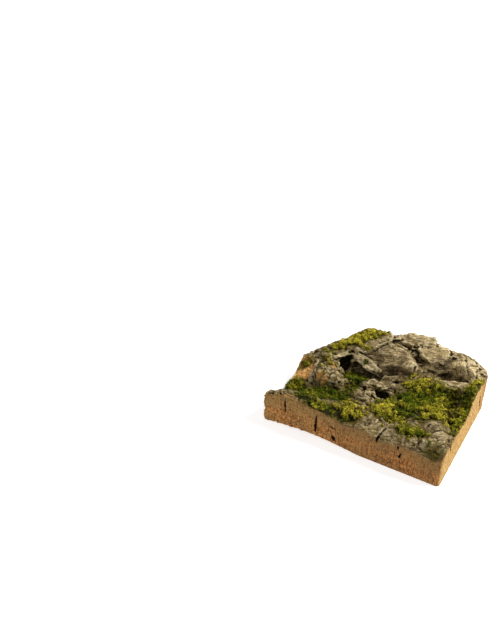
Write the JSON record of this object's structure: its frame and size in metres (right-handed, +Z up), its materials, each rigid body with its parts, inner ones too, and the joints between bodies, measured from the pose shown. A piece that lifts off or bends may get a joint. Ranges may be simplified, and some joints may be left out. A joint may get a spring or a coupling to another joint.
{
  "type": "cork bark slab",
  "caption": "Square-sawn slab of rugged virgin cork bark lying on its inner side, with plates, ridges and hollows on top and cushions of green moss growing in them.",
  "frame": {"origin": "middle of the slab's footprint, on the surface it lies on", "axes": "+X along the long sawn front edge, to the right seen from the front; +Y from the sawn front to the broken back edge; +Z up, out of the outer bark"},
  "size_m": [0.19, 0.1608, 0.052],
  "materials": {
    "cork_bark": "rough gray-brown bark, sawn faces warm tan with fine pores",
    "moss": "soft yellow-green moss, darker in the hollows"
  },
  "bodies": {
    "root": {"cork_bark": "cork_bark", "moss_back_crest": "moss", "moss_left_corner": "moss", "moss_left_edge": "moss", "moss_left_valley": "moss", "moss_front_left": "moss", "moss_front_middle": "moss", "moss_front_centre": "moss", "moss_front_right": "moss", "moss_right_centre": "moss", "moss_centre_field": "moss", "moss_right_edge": "moss", "moss_under_flake": "moss"}
  },
  "joints": []
}
